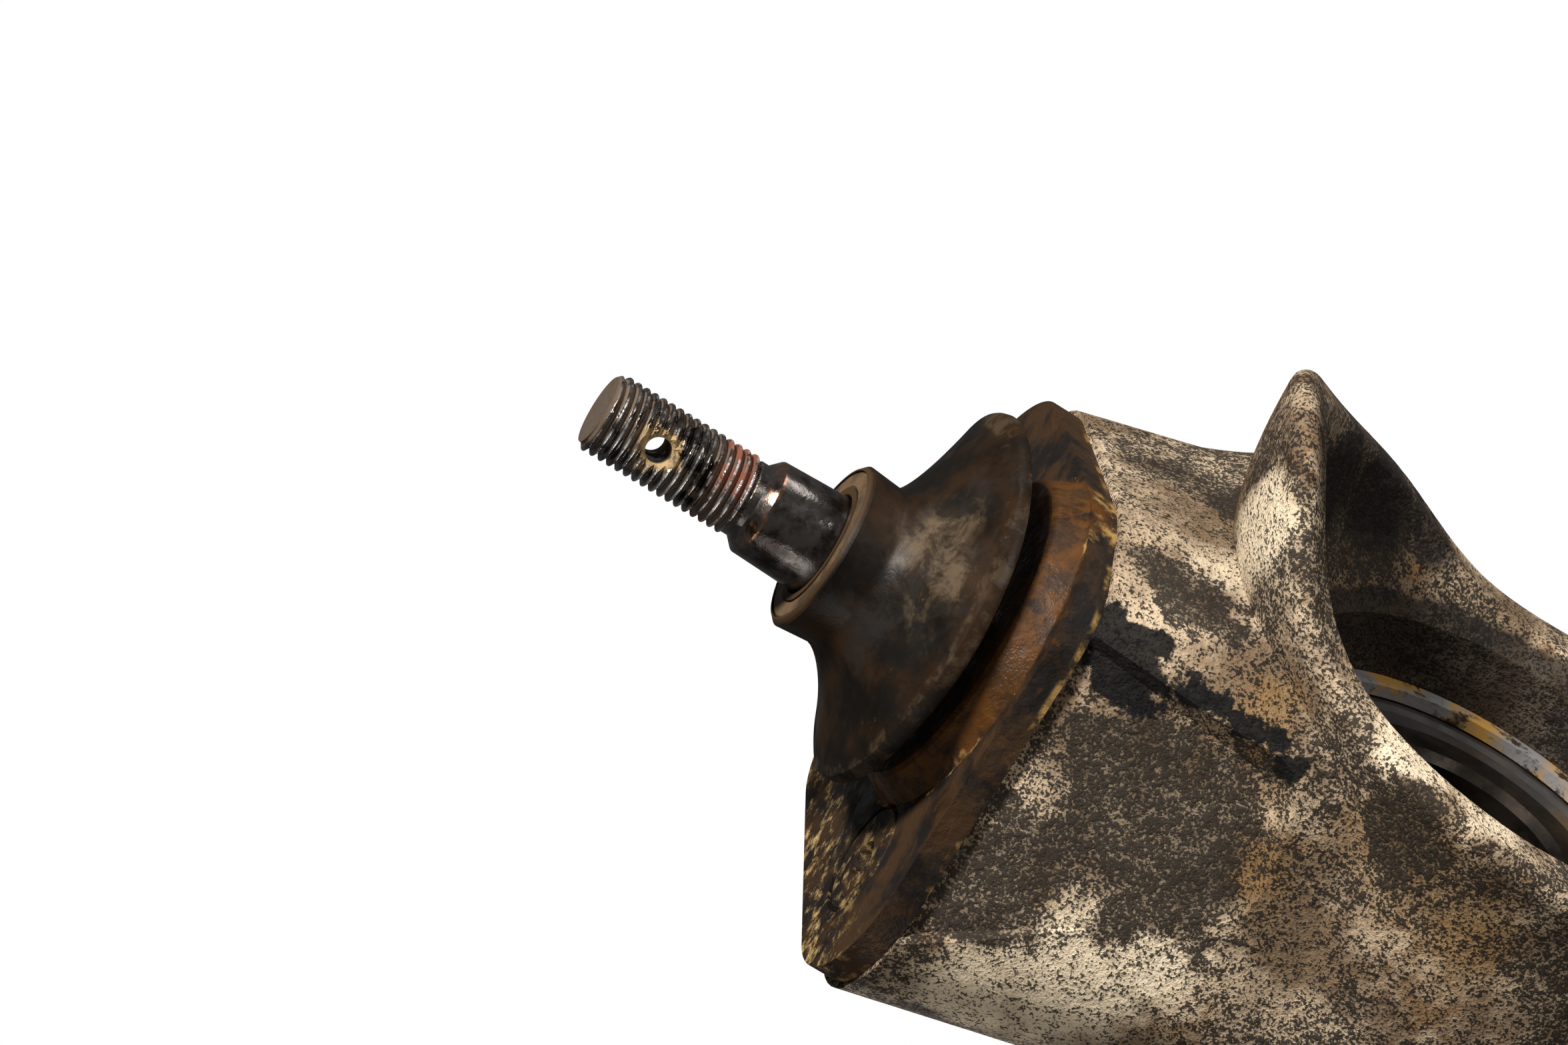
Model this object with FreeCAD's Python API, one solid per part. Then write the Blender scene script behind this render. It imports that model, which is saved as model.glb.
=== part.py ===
import FreeCAD, Part
import math
import os

# Front steering knuckle of a small front-wheel-drive car, with its wheel bearing and lower ball joint.
# All sizes are millimetres. The origin is the centre of the wheel bearing, Y is the hub axis
# (minus Y towards the middle of the car, where the drive joint sits), Z is up, and the ball joint hangs below.

V = FreeCAD.Vector

# Wheel bearing, a sealed double-row taper roller unit
bearing_bore = 30.0
bearing_outside = 60.0
bearing_width = 37.0
bearing_fit = 0.03
roller_count = 15
roller_length = 11.0
roller_mean_radius = 3.2
roller_taper = 0.3
roller_pitch_radius = 22.4
roller_row_offset = 8.6
roller_tilt = 12.0
roller_clearance = 0.04
cage_thickness = 1.2
cage_overhang = 1.4
rib_radius = 21.2
rib_gap = 0.15
ring_split_gap = 0.1
ring_clip_width = 3.0
ring_clip_thickness = 0.9
seal_width = 1.8
seal_recess = 0.3
seal_lip_gap = 0.08
seal_wall = 2.8

# Circlip that keeps the bearing in the bore
circlip_thickness = 1.75
circlip_radial = 4.2
circlip_groove = 1.4
circlip_gap_angle = 24.0

# Casting round the bearing
bore_lead = 9.4
shoulder_width = 4.0
shoulder_height = 4.0
barrel_wall = 12.0
barrel_end_chamfer = 3.0
recess_wall = 4.0
recess_rise = 7.5
hood_reach = 72.0
hood_flare_start = 34.0
hood_flare = 7.0
hood_inner_flare = 5.5

# Rim of the hood: how far back it stands at four levels below the hub axis, at three places across the car
rim_levels = (0.0, 21.6, 40.0, 50.0)
near_rim = (35.5, 39.7, 47.5, 60.6)
middle_rim = (35.5, 42.5, 56.5, 65.5)
far_rim = (34.2, 45.0, 51.8, 56.0)
near_rim_side = 20.0
middle_rim_side = -5.0
far_rim_side = -42.0
rim_round = 2.0
rim_inner_round = 1.2

# Ball joint: its axis leans towards the middle of the car and starts near the hub axis
joint_lean = 7.2
joint_offset = 4.06
ball_radius = 12.0
ball_flat = 1.0
ball_drop = 58.5
ball_clearance = 0.05
liner_wall = 4.9
liner_running_gap = 0.06
liner_end_gap = 0.15
liner_split_gap = 0.2
liner_throat_angle = 56.0
liner_mouth_radius = 12.6
cup_wall = 2.4
cup_floor = 2.2
cup_flange_radius = 23.5
cup_flange = 1.5
cup_gap = 0.05
spring_thickness = 1.2
spring_rise = 0.8
spring_hole_radius = 5.0

# Pressed flange plate under the joint, with its two drive rivets
plate_face = 69.2
plate_thickness = 4.0
plate_collar_radius = 24.6
plate_corner_radius = 13.3
plate_corner_side = 11.5
plate_corner_back = -9.0
ear_radius = 16.5
ear_side = 19.5
ear_back = 24.4
far_ear_radius = 17.6
far_ear_side = -34.0
far_ear_back = -2.2
dish_foot_radius = 24.2
dish_top_radius = 21.6
dish_rise = 4.0
dish_hole_radius = 13.6
rivet_head_radius = 7.7
rivet_head = 1.6
rivet_shank_radius = 4.0
rivet_length = 18.0
rivet_dimple_radius = 2.5
rivet_dimple = 2.6
rivet_side = 17.0
rivet_back = 27.0
spot_face_radius = 8.0

# Boss of the casting that carries the joint
pad_margin = 0.9
boss_top_level = 8.0
boss_top_collar_radius = 30.0
boss_top_collar_back = -13.0
boss_top_corner_radius = 25.0
boss_top_corner_side = 13.0
boss_top_corner_back = -14.0
boss_top_ear_radius = 20.0
boss_top_ear_side = 18.0
boss_top_ear_back = 8.0
boss_top_far_radius = 25.0
boss_top_far_side = -20.0
boss_top_far_back = -18.5
root_low_level = 60.0
root_high_level = 20.0
root_swing = 20.0
root_corner_share = 0.8
root_inset = 0.6
root_rim_gap = 3.0
panel_depth = 2.4
panel_lean = 13.0
panel_slope = 7.0
panel_corner = 5.0
panel_open_level = -9.0
panel_near_side = 0.5
panel_far_side = 39.0
panel_peak_side = 13.0
panel_peak_level = 29.0
panel_crown_side = 3.0
panel_crown_level = 25.0

# Ball stud: a 7/16 inch 20-thread end, a taper and a split-pin hole
stud_length = 128.1
thread_radius = 5.55
thread_length = 21.4
tip_chamfer = 0.8
relief_radius = 5.2
relief_length = 1.4
taper_small_radius = 6.68
taper_large_radius = 6.95
taper_length = 7.5
neck_radius = 7.0
ball_neck_radius = 6.6
ball_neck_length = 6.0
pin_hole_radius = 1.75
pin_hole_from_tip = 8.5
pin_hole_turn = -16.0
pin_hole_mouth_radius = 3.0
tilt_limit = 20.0

# Dust boot and the steel ring moulded into its lip
boot_lip_level = 94.4
boot_lip_radius = 11.9
boot_neck_length = 5.4
boot_rim_level = 76.2
boot_rim_radius = 25.3
boot_rim_band = 2.6
boot_wall = 2.8
boot_bore_gap = 0.08
lip_ring_inner = 8.4
lip_ring_outer = 10.9
lip_ring_thickness = 2.0

# Mounting features of the casting
strut_lug_thickness = 32.0
strut_lug_back = -38.0
strut_lug_radius = 17.0
strut_hole_radius = 6.1
strut_hole_low = 72.0
strut_hole_spacing = 54.0
strut_neck_level = 30.0
strut_neck_flare = 9.0
strut_neck_back = -31.0
strut_neck_front = 15.0
strut_neck_overlap = 11.0
arm_reach = 112.0
arm_back = -36.0
arm_level = 36.0
arm_root_side = 8.0
arm_root_back = -24.0
arm_root_width = 32.0
arm_root_height = 20.0
arm_waist_side = 62.0
arm_waist_width = 22.0
arm_waist_height = 16.0
arm_tip_width = 18.0
arm_tip_height = 14.0
arm_eye_radius = 14.5
arm_eye_height = 19.0
arm_hole_small = 6.0
arm_hole_large = 7.0
caliper_side = -70.0
caliper_low = -34.0
caliper_spacing = 76.0
caliper_lug_radius = 12.0
caliper_lug_face = 16.0
caliper_lug_thickness = 15.0
caliper_thread_radius = 5.25
web_root_side = -18.0
web_root_level = 14.0
web_root_radius = 20.0
web_middle_side = -30.0
web_middle_share = 0.72
web_middle_radius = 13.0
web_end_radius = 9.0
web_inset = 2.0
shield_hole_radius = 2.5
shield_hole_circle = 34.0
shield_hole_depth = 10.0
shield_first_angle = 30.0

half_width = bearing_width / 2
outside_radius = bearing_outside / 2
seal_outer_radius = outside_radius - seal_wall
barrel_radius = outside_radius + barrel_wall
recess_radius = barrel_radius - recess_wall
bore_edge = half_width + circlip_thickness + bore_lead
outer_face = half_width + shoulder_width
pad_level = plate_face - plate_thickness
cup_inner_radius = ball_radius + liner_wall + liner_running_gap
cup_outer_radius = cup_inner_radius + cup_wall
liner_top = ball_drop - ball_radius - 2.4
spring_top = liner_top - spring_thickness - spring_rise
cup_top = spring_top - cup_floor
dish_top = plate_face + dish_rise
dish_underside = pad_level + dish_rise


def on_joint(shape):
    """Places a shape modelled on the ball joint's own upright axis."""
    lean = FreeCAD.Placement(V(0, -joint_offset, 0), FreeCAD.Rotation(V(1, 0, 0), -joint_lean))
    placed = shape.copy()
    placed.Placement = lean.multiply(shape.Placement)
    return placed


def polygon_face(points):
    return Part.Face(Part.makePolygon(points + [points[0]]))


def turned_on_z(profile):
    """Revolves (radius, height) points about Z."""
    face = polygon_face([V(radius, 0, height) for radius, height in profile])
    return face.revolve(V(0, 0, 0), V(0, 0, 1), 360)


def turned_on_y(profile):
    """Revolves (radius, station along Y) points about the hub axis."""
    face = polygon_face([V(radius, station, 0) for radius, station in profile])
    return face.revolve(V(0, 0, 0), V(0, 1, 0), 360)


def belt(circles, level):
    """Wire of arcs and common tangents round three or more circles, listed anticlockwise."""
    edges = []
    count = len(circles)
    angles = []
    for index in range(count):
        x1, y1, r1 = circles[index]
        x2, y2, r2 = circles[(index + 1) % count]
        heading = math.atan2(y2 - y1, x2 - x1)
        distance = math.hypot(x2 - x1, y2 - y1)
        angles.append(heading - math.acos((r1 - r2) / distance))
    for index in range(count):
        x, y, r = circles[index]
        start = angles[index - 1]
        end = angles[index]
        while end < start:
            end += 2 * math.pi
        points = [V(x + r * math.cos(a), y + r * math.sin(a), level)
                  for a in (start, (start + end) / 2, end)]
        edges.append(Part.Arc(points[0], points[1], points[2]).toShape())
        x2, y2, r2 = circles[(index + 1) % count]
        tangent = V(x2 + r2 * math.cos(end), y2 + r2 * math.sin(end), level)
        edges.append(Part.LineSegment(points[2], tangent).toShape())
    return Part.Wire(edges)


def cylinder_y(radius, start, end, x=0.0, z=0.0):
    return Part.makeCylinder(radius, end - start, V(x, start, z), V(0, 1, 0))


def plate_circles(margin):
    """Collar at the dish, corner towards the arm, two ears at the back and a wide one on the far side."""
    return [(0.0, 0.0, plate_collar_radius + margin),
            (plate_corner_side, plate_corner_back, plate_corner_radius + margin),
            (ear_side, ear_back, ear_radius + margin),
            (-ear_side, ear_back, ear_radius + margin),
            (far_ear_side, far_ear_back, far_ear_radius + margin)]


# Casting

def spline_edge(points):
    curve = Part.BSplineCurve()
    curve.interpolate(points)
    return curve.toShape()


def turned_with_flare(flare, corners):
    """Revolves, about the hub axis, a smooth flare closed by straight lines through the corners."""
    edges = [spline_edge([V(radius, station, 0) for radius, station in flare])]
    path = [flare[-1]] + corners + [flare[0]]
    for start, end in zip(path, path[1:]):
        edges.append(Part.LineSegment(V(start[0], start[1], 0), V(end[0], end[1], 0)).toShape())
    face = Part.Face(Part.Wire(Part.__sortEdges__(edges)))
    return face.revolve(V(0, 0, 0), V(0, 1, 0), 360)


def barrel_and_hood():
    """Outside of the bearing barrel, flared into the hood that shields the drive joint."""
    start = hood_flare_start
    flare = [(barrel_radius, -half_width - 1.5), (barrel_radius + 1.8, -start + 1),
             (barrel_radius + 0.78 * hood_flare, -start - 9), (barrel_radius + hood_flare, -start - 18),
             (barrel_radius + hood_flare + 0.4, -start - 28), (barrel_radius + hood_flare, -hood_reach)]
    chamfer = barrel_end_chamfer
    corners = [(0, -hood_reach), (0, outer_face), (barrel_radius - chamfer, outer_face),
               (barrel_radius, outer_face - chamfer)]
    return turned_with_flare(flare, corners)


def bearing_room():
    """Everything removed along the hub axis: bore, shoulder opening, circlip groove and recess."""
    start = bore_edge + recess_rise
    flare = [(recess_radius, -start), (recess_radius + 0.6 * hood_inner_flare, -start - 8),
             (recess_radius + 0.9 * hood_inner_flare, -start - 18),
             (recess_radius + hood_inner_flare, -start - 29),
             (recess_radius + hood_inner_flare, -hood_reach - 8)]
    corners = [(0, -hood_reach - 8), (0, outer_face + 1), (outside_radius - shoulder_height, outer_face + 1),
               (outside_radius - shoulder_height, half_width), (outside_radius, half_width),
               (outside_radius, -bore_edge)]
    groove_end = -half_width - circlip_thickness
    groove = cylinder_y(outside_radius + circlip_groove, groove_end - 0.05, -half_width)
    return turned_with_flare(flare, corners).fuse(groove)


def rim_section(side, rim):
    """Curve of the rim at one place across the car, carried on past its top and its crest."""
    points = [V(side, -rim[0] + 2.0, 60), V(side, -rim[0] + 0.8, 25)]
    for back, level in zip(rim, rim_levels):
        points.append(V(side, -back, -level))
    slope = (rim[3] - rim[2]) / (rim_levels[3] - rim_levels[2])
    points.append(V(side, -rim[3] - 12 * slope, -rim_levels[3] - 12))
    return Part.Wire([spline_edge(points)])


def rim_sheet():
    places = [(90, near_rim), (near_rim_side, near_rim), (middle_rim_side, middle_rim),
              (far_rim_side, far_rim), (-90, far_rim)]
    return Part.makeLoft([rim_section(side, rim) for side, rim in places], False, False)


def rim_edges(solid, sheet, least, most):
    """Edges of the solid that lie on the rim's sheet and are longer than least and shorter than most."""
    found = []
    for edge in solid.Edges:
        middle = edge.valueAt((edge.FirstParameter + edge.LastParameter) / 2)
        if least < edge.Length < most and sheet.distToShape(Part.Vertex(middle))[0] < 0.01:
            found.append(edge)
    return found


def hooded_barrel(sheet, above_rim, room):
    """Barrel and hood, cut to the rim's saddle line, with the rim's outer and inner edges rounded."""
    solid = barrel_and_hood().cut(above_rim).cut(room).Solids[0]
    around = 3.5 * barrel_radius
    solid = solid.makeFillet(rim_round, rim_edges(solid, sheet, around, 3 * around)).Solids[0]
    return solid.makeFillet(rim_inner_round, rim_edges(solid, sheet, 1, around)).Solids[0]


def boss_circles(level, inset, swing):
    """Circles round which the boss's outline runs at one level; swing moves its inboard side to the rim."""
    top = [(0.0, boss_top_collar_back, boss_top_collar_radius),
           (boss_top_corner_side, boss_top_corner_back, boss_top_corner_radius),
           (boss_top_ear_side, boss_top_ear_back, boss_top_ear_radius),
           (-boss_top_ear_side, boss_top_ear_back, boss_top_ear_radius),
           (boss_top_far_side, boss_top_far_back, boss_top_far_radius)]
    share = (pad_level - level) / (pad_level - boss_top_level)
    circles = []
    for low, high in zip(plate_circles(pad_margin), top):
        x, y, radius = [start + share * (end - start) for start, end in zip(low, high)]
        circles.append((x, y, radius - inset))
    for index, part in ((0, 1.0), (1, root_corner_share), (4, root_corner_share)):
        x, y, radius = circles[index]
        circles[index] = (x, y - part * swing, radius)
    return circles


def joint_boss():
    wires = [belt(boss_circles(level, 0, 0), -level) for level in (pad_level, boss_top_level)]
    return on_joint(Part.makeLoft(wires, True, True))


def boss_root():
    """Sweep of the boss into the outside of the hood, which stops short of the rim."""
    wires = []
    for share, swing in ((0, 0), (0.25, 0.03), (0.45, 0.15), (0.65, 0.4), (1, 1)):
        level = root_low_level + share * (root_high_level - root_low_level)
        wires.append(belt(boss_circles(level, root_inset, swing * root_swing), -level))
    return on_joint(Part.makeLoft(wires, True, False))


def side_panel():
    """Shallow core print in the flank of the boss, open at the plate, with sloping borders."""
    corner = plate_corner_radius + pad_margin
    ear = ear_radius + pad_margin
    across = ear_side - plate_corner_side
    back = ear_back - plate_corner_back
    distance = math.hypot(across, back)
    facing = math.atan2(back, across) - math.acos((corner - ear) / distance)
    centres = [(panel_near_side, panel_open_level), (panel_far_side, panel_open_level),
               (panel_peak_side, panel_peak_level), (panel_crown_side, panel_crown_level)]
    floor = belt([(a, b, panel_corner) for a, b in centres], -panel_depth)
    mouth = belt([(a, b, panel_corner + 1.3 * panel_slope) for a, b in centres], panel_slope)
    pocket = Part.makeLoft([floor, mouth], True, True)
    pocket.rotate(V(0, 0, 0), V(1, 0, 0), panel_lean)
    out = V(math.cos(facing), math.sin(facing), 0)
    along = V(-math.sin(facing), math.cos(facing), 0)
    start = V(plate_corner_side, plate_corner_back, -pad_level) + out * corner
    frame = FreeCAD.Matrix(along.x, 0, out.x, start.x, along.y, 0, out.y, start.y,
                           0, 1, 0, start.z, 0, 0, 0, 1)
    pocket.Placement = FreeCAD.Placement(frame).multiply(pocket.Placement)
    return on_joint(pocket)


def strut_lug():
    """Tongue that the strut's bracket clasps, on a neck that rises from the barrel."""
    half = strut_lug_thickness / 2
    top = strut_hole_low + strut_hole_spacing
    circles = [(strut_lug_back, strut_hole_low, strut_lug_radius),
               (strut_lug_back, top, strut_lug_radius - 1.0),
               (strut_lug_back - 1.0, top - 6.0, strut_lug_radius - 1.0)]
    outline = belt(circles, -half)
    tongue = Part.Face(outline).extrude(V(0, 0, strut_lug_thickness))
    matrix = FreeCAD.Matrix(0, 0, 1, 0, 1, 0, 0, 0, 0, 1, 0, 0, 0, 0, 0, 1)
    tongue = tongue.transformGeometry(matrix)
    wide = half + strut_neck_flare
    foot = Part.makePolygon([V(-wide, strut_neck_back, strut_neck_level),
                             V(wide, strut_neck_back, strut_neck_level),
                             V(wide, strut_neck_front, strut_neck_level),
                             V(-wide, strut_neck_front, strut_neck_level),
                             V(-wide, strut_neck_back, strut_neck_level)])
    level = strut_hole_low - strut_lug_radius + strut_neck_overlap
    back = strut_lug_back - strut_lug_radius + 1.0
    front = strut_lug_back + strut_lug_radius - 1.0
    head = Part.makePolygon([V(-half, back, level), V(half, back, level), V(half, front, level),
                             V(-half, front, level), V(-half, back, level)])
    neck = Part.makeLoft([foot, head], True, True)
    return tongue.fuse(neck)


def strut_holes():
    holes = []
    for step in (0, 1):
        level = strut_hole_low + step * strut_hole_spacing
        start = V(-strut_lug_thickness, strut_lug_back, level)
        holes.append(Part.makeCylinder(strut_hole_radius, 2 * strut_lug_thickness, start, V(1, 0, 0)))
    return holes


def steering_arm():
    """Arm out to the tie-rod eye, deeper at its root than at the eye."""
    def section(x, back, width, height):
        low = arm_level - 1 - height / 2
        points = [V(x, back, low), V(x, back + width, low),
                  V(x, back + width, low + height), V(x, back, low + height)]
        return Part.makePolygon(points + [points[0]])
    root = section(arm_root_side, arm_root_back, arm_root_width, arm_root_height)
    waist = section(arm_waist_side, arm_back + 2, arm_waist_width, arm_waist_height)
    tip = section(arm_reach - 6, arm_back - arm_tip_width / 2, arm_tip_width, arm_tip_height)
    arm = Part.makeLoft([root, waist, tip], True, True)
    low = arm_level - arm_eye_height / 2
    eye = Part.makeCylinder(arm_eye_radius, arm_eye_height, V(arm_reach, arm_back, low))
    return arm.fuse(eye)


def arm_hole():
    low = arm_level - arm_eye_height / 2
    return Part.makeCone(arm_hole_small, arm_hole_large, arm_eye_height, V(arm_reach, arm_back, low))


def caliper_carrier():
    """Two lugs for the brake caliper, joined to the barrel by webs."""
    start = caliper_lug_face - caliper_lug_thickness
    shapes = []
    for step in (0, 1):
        level = caliper_low + step * caliper_spacing
        lug = cylinder_y(caliper_lug_radius, start, caliper_lug_face, caliper_side, level)
        circles = [(web_root_side, math.copysign(web_root_level, level), web_root_radius),
                   (caliper_side, level, web_end_radius),
                   (web_middle_side, level * web_middle_share, web_middle_radius)]
        if level > 0:
            circles = [circles[0], circles[2], circles[1]]
        outline = belt(circles, 0.0)
        web = Part.Face(outline).extrude(V(0, 0, caliper_lug_thickness - 2 * web_inset))
        matrix = FreeCAD.Matrix(1, 0, 0, 0, 0, 0, -1, caliper_lug_face - web_inset, 0, 1, 0, 0, 0, 0, 0, 1)
        shapes.append(web.transformGeometry(matrix))
        shapes.append(lug)
    return shapes


def caliper_holes():
    holes = []
    for step in (0, 1):
        level = caliper_low + step * caliper_spacing
        start = caliper_lug_face - caliper_lug_thickness - 1
        holes.append(cylinder_y(caliper_thread_radius, start, caliper_lug_face + 1, caliper_side, level))
    return holes


def shield_holes():
    holes = []
    for index in range(3):
        angle = math.radians(shield_first_angle + 120 * index)
        x = shield_hole_circle * math.cos(angle)
        z = shield_hole_circle * math.sin(angle)
        holes.append(cylinder_y(shield_hole_radius, outer_face - shield_hole_depth, outer_face + 1, x, z))
    return holes


def joint_room():
    """Cavity for the ball joint's cup and the blind holes for its rivets."""
    cavity = Part.makeCylinder(cup_outer_radius + cup_gap, pad_level - cup_top + cup_gap + 1,
                               V(0, 0, -pad_level - 1))
    seat = Part.makeCylinder(cup_flange_radius + cup_gap, cup_flange + cup_gap + 1,
                             V(0, 0, -pad_level - 1))
    room = cavity.fuse(seat)
    depth = rivet_length - plate_thickness
    for side in (-1, 1):
        hole = Part.makeCylinder(rivet_shank_radius, depth + 1,
                                 V(side * rivet_side, rivet_back, -pad_level - 1))
        room = room.fuse(hole)
    return on_joint(room)


def knuckle_casting():
    sheet = rim_sheet()
    above_rim = sheet.extrude(V(0, -2 * hood_reach, 0)).Solids[0]
    room = bearing_room()
    solid = hooded_barrel(sheet, above_rim, room).fuse(joint_boss().cut(above_rim).cut(room))
    short_of_rim = above_rim.copy()
    short_of_rim.translate(V(0, root_rim_gap, 0))
    solid = solid.fuse(boss_root().cut(short_of_rim).cut(room))
    for limb in [strut_lug(), steering_arm()] + caliper_carrier():
        solid = solid.fuse(limb.cut(room))
    tools = [joint_room(), arm_hole(), side_panel()] + strut_holes() + caliper_holes() + shield_holes()
    for tool in tools:
        solid = solid.cut(tool)
    return solid


# Wheel bearing

def roller_line(offset, distance, sign):
    """Point (radius, station) beside a roller's axis; offset is along it, distance across it."""
    tilt = math.radians(roller_tilt)
    radius = roller_pitch_radius + offset * math.sin(tilt) + distance * math.cos(tilt)
    station = roller_row_offset + offset * math.cos(tilt) - distance * math.sin(tilt)
    return (radius, sign * station)


def roller_radius(offset):
    return roller_mean_radius + roller_taper * offset / (roller_length / 2)


def bearing_outer_ring():
    half = roller_length / 2 + 0.4
    big = roller_radius(half) + roller_clearance
    small = roller_radius(-half) + roller_clearance
    edge = half_width - seal_width - seal_recess - 0.4
    wide = roller_line(half, big, 1)
    narrow = roller_line(-half, small, 1)
    profile = [(outside_radius - bearing_fit, -half_width + 1), (outside_radius - bearing_fit, half_width - 1),
               (outside_radius - bearing_fit - 1, half_width), (seal_outer_radius, half_width),
               (seal_outer_radius, edge), (wide[0], edge), wide, narrow,
               (narrow[0], -narrow[1]), (wide[0], -wide[1]), (wide[0], -edge),
               (seal_outer_radius, -edge), (seal_outer_radius, -half_width),
               (outside_radius - bearing_fit - 1, -half_width)]
    return turned_on_y(profile)


def bearing_inner_ring(sign):
    half = roller_length / 2 + 0.2
    big = roller_radius(half) + roller_clearance
    small = roller_radius(-half) + roller_clearance
    wide = roller_line(half, -big, 1)
    narrow = roller_line(-half, -small, 1)
    rib = wide[1] + rib_gap
    start = ring_split_gap / 2
    waist = narrow[0] - ring_clip_thickness
    profile = [(bearing_bore / 2, start + 0.6), (bearing_bore / 2 + 0.6, start), (waist, start),
               (waist, start + ring_clip_width / 2), (narrow[0], start + ring_clip_width / 2), narrow, wide,
               (wide[0], rib), (rib_radius, rib), (rib_radius, half_width - 0.6),
               (rib_radius - 0.6, half_width), (bearing_bore / 2 + 1.2, half_width),
               (bearing_bore / 2, half_width - 1.2)]
    return turned_on_y([(radius, sign * station) for radius, station in profile])


def bearing_ring_clip():
    half = roller_length / 2 + 0.2
    narrow = roller_line(-half, -(roller_radius(-half) + roller_clearance), 1)
    outer = narrow[0] - 0.05
    inner = narrow[0] - ring_clip_thickness
    width = ring_clip_width / 2 + ring_split_gap / 2 - 0.05
    return turned_on_y([(inner, -width), (outer, -width), (outer, width), (inner, width)])


def one_roller(sign, angle, growth):
    half = roller_length / 2
    roller = Part.makeCone(roller_radius(-half) + growth, roller_radius(half) + growth,
                           roller_length + 2 * growth, V(0, 0, -half - growth))
    roller.rotate(V(0, 0, 0), V(1, 0, 0), -90 * sign)
    roller.rotate(V(0, 0, 0), V(0, 0, 1), -roller_tilt * sign)
    roller.translate(V(roller_pitch_radius, sign * roller_row_offset, 0))
    roller.rotate(V(0, 0, 0), V(0, 1, 0), angle)
    return roller


def bearing_rollers(sign):
    step = 360.0 / roller_count
    return Part.makeCompound([one_roller(sign, index * step, 0.0) for index in range(roller_count)])


def roller_cage(sign):
    half = roller_length / 2 + cage_overhang
    across = cage_thickness / 2
    profile = [roller_line(-half, -across, sign), roller_line(-half, across, sign),
               roller_line(half, across, sign), roller_line(half, -across, sign)]
    cage = turned_on_y(profile)
    step = 360.0 / roller_count
    return cage.cut([one_roller(sign, index * step, 0.15) for index in range(roller_count)])


def bearing_seal(sign):
    outer = half_width - seal_recess
    inner = outer - seal_width
    lip = rib_radius + seal_lip_gap
    profile = [(lip, inner), (seal_outer_radius, inner), (seal_outer_radius, outer),
               (seal_outer_radius - 1.2, outer), (seal_outer_radius - 2.0, outer - 0.5),
               (lip + 1.6, outer - 0.5), (lip, outer - 0.1)]
    return turned_on_y([(radius, sign * station) for radius, station in profile])


def bearing_circlip():
    """Snap ring with a gap and two eyes for the pliers."""
    outer = outside_radius + circlip_groove - 0.1
    start = -half_width - circlip_thickness
    inner = outer - circlip_radial
    ring = cylinder_y(outer, start, -half_width).cut(cylinder_y(inner, start, -half_width))
    half = math.radians(circlip_gap_angle / 2)
    reach = outer + 5
    wedge = polygon_face([V(0, start - 1, 0), V(reach * math.sin(-half), start - 1, reach),
                          V(reach * math.sin(half), start - 1, reach)])
    ring = ring.cut(wedge.extrude(V(0, circlip_thickness + 2, 0)))
    for side in (-1, 1):
        angle = half + math.radians(6.5)
        x = side * (inner + 0.6) * math.sin(angle)
        z = (inner + 0.6) * math.cos(angle)
        eye = cylinder_y(3.2, start, -half_width, x, z)
        hole = cylinder_y(1.25, start, -half_width, x, z)
        ring = ring.fuse(eye).cut(hole)
    return ring


# Ball joint, modelled upright on its own axis and then leaned over

def joint_flange_plate():
    face = Part.Face(belt(plate_circles(0.0), -plate_face))
    plate = face.extrude(V(0, 0, plate_thickness))
    slope = dish_foot_radius - dish_top_radius
    dome = turned_on_z([(0, -plate_face + 0.2), (dish_foot_radius, -plate_face),
                        (dish_top_radius + 0.25 * slope, -dish_top + 0.5), (dish_top_radius, -dish_top),
                        (0, -dish_top)])
    hollow = turned_on_z([(0, -pad_level + 1), (dish_foot_radius - 2.0, -pad_level + 1),
                          (dish_foot_radius - 2.0, -pad_level),
                          (dish_top_radius - 1.6, -dish_underside), (0, -dish_underside)])
    hole = Part.makeCylinder(dish_hole_radius, 30, V(0, 0, -dish_top - 10))
    plate = plate.fuse(dome).cut([hollow, hole])
    for side in (-1, 1):
        centre = V(side * rivet_side, rivet_back, -plate_face + rivet_head)
        pocket = Part.makeCylinder(spot_face_radius, 20, centre, V(0, 0, -1))
        shank = Part.makeCylinder(rivet_shank_radius, 30, centre + V(0, 0, -5))
        plate = plate.cut([pocket, shank])
    return on_joint(plate.removeSplitter())


def flange_rivets():
    rivets = []
    for side in (-1, 1):
        face = -plate_face + 0.1
        profile = [(rivet_dimple_radius, face), (rivet_head_radius - 0.5, face),
                   (rivet_head_radius, face + 0.5), (rivet_head_radius, -plate_face + rivet_head),
                   (rivet_shank_radius, -plate_face + rivet_head),
                   (rivet_shank_radius, -plate_face + rivet_length - 1.0),
                   (rivet_shank_radius - 1.0, -plate_face + rivet_length),
                   (0, -plate_face + rivet_length), (0, face + rivet_dimple),
                   (rivet_dimple_radius - 0.6, face + rivet_dimple)]
        rivet = turned_on_z(profile)
        rivet.translate(V(side * rivet_side, rivet_back, 0))
        rivets.append(on_joint(rivet))
    return Part.makeCompound(rivets)


def joint_socket_cup():
    profile = [(0, -cup_top), (cup_outer_radius - 3, -cup_top), (cup_outer_radius, -cup_top - 3),
               (cup_outer_radius, -pad_level + cup_flange), (cup_flange_radius, -pad_level + cup_flange),
               (cup_flange_radius, -pad_level), (cup_outer_radius, -pad_level),
               (cup_outer_radius - 0.6, -dish_underside), (cup_inner_radius, -dish_underside),
               (cup_inner_radius, -spring_top - 2), (cup_inner_radius - 2, -spring_top), (0, -spring_top)]
    return on_joint(turned_on_z(profile))


def ball_hollow():
    return Part.makeSphere(ball_radius + ball_clearance, V(0, 0, -ball_drop))


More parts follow.
